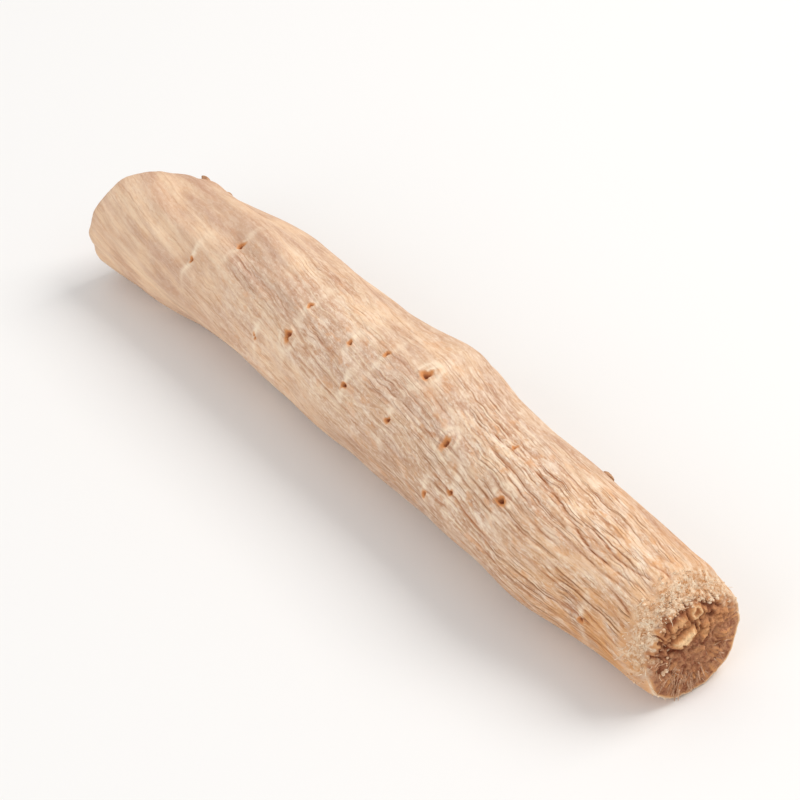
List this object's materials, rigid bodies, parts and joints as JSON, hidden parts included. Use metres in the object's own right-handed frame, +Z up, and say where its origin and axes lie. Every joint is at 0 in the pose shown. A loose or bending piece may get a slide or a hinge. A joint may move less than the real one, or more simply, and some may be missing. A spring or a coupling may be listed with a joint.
{
  "type": "achyranthes root",
  "caption": "Thick dried medicinal root, straight with a slight bow, wrinkled tan bark with small rootlet scars, cut across at both ends, lying on its side.",
  "frame": {"origin": "on the surface the root lies on, under the middle of its bounding box", "axes": "+X along the root towards its torn end, +Z up"},
  "size_m": [0.1324, 0.0238, 0.0203],
  "materials": {
    "bark": "matte"
  },
  "bodies": {
    "root": {"achyranthes_root": "bark"}
  },
  "joints": []
}
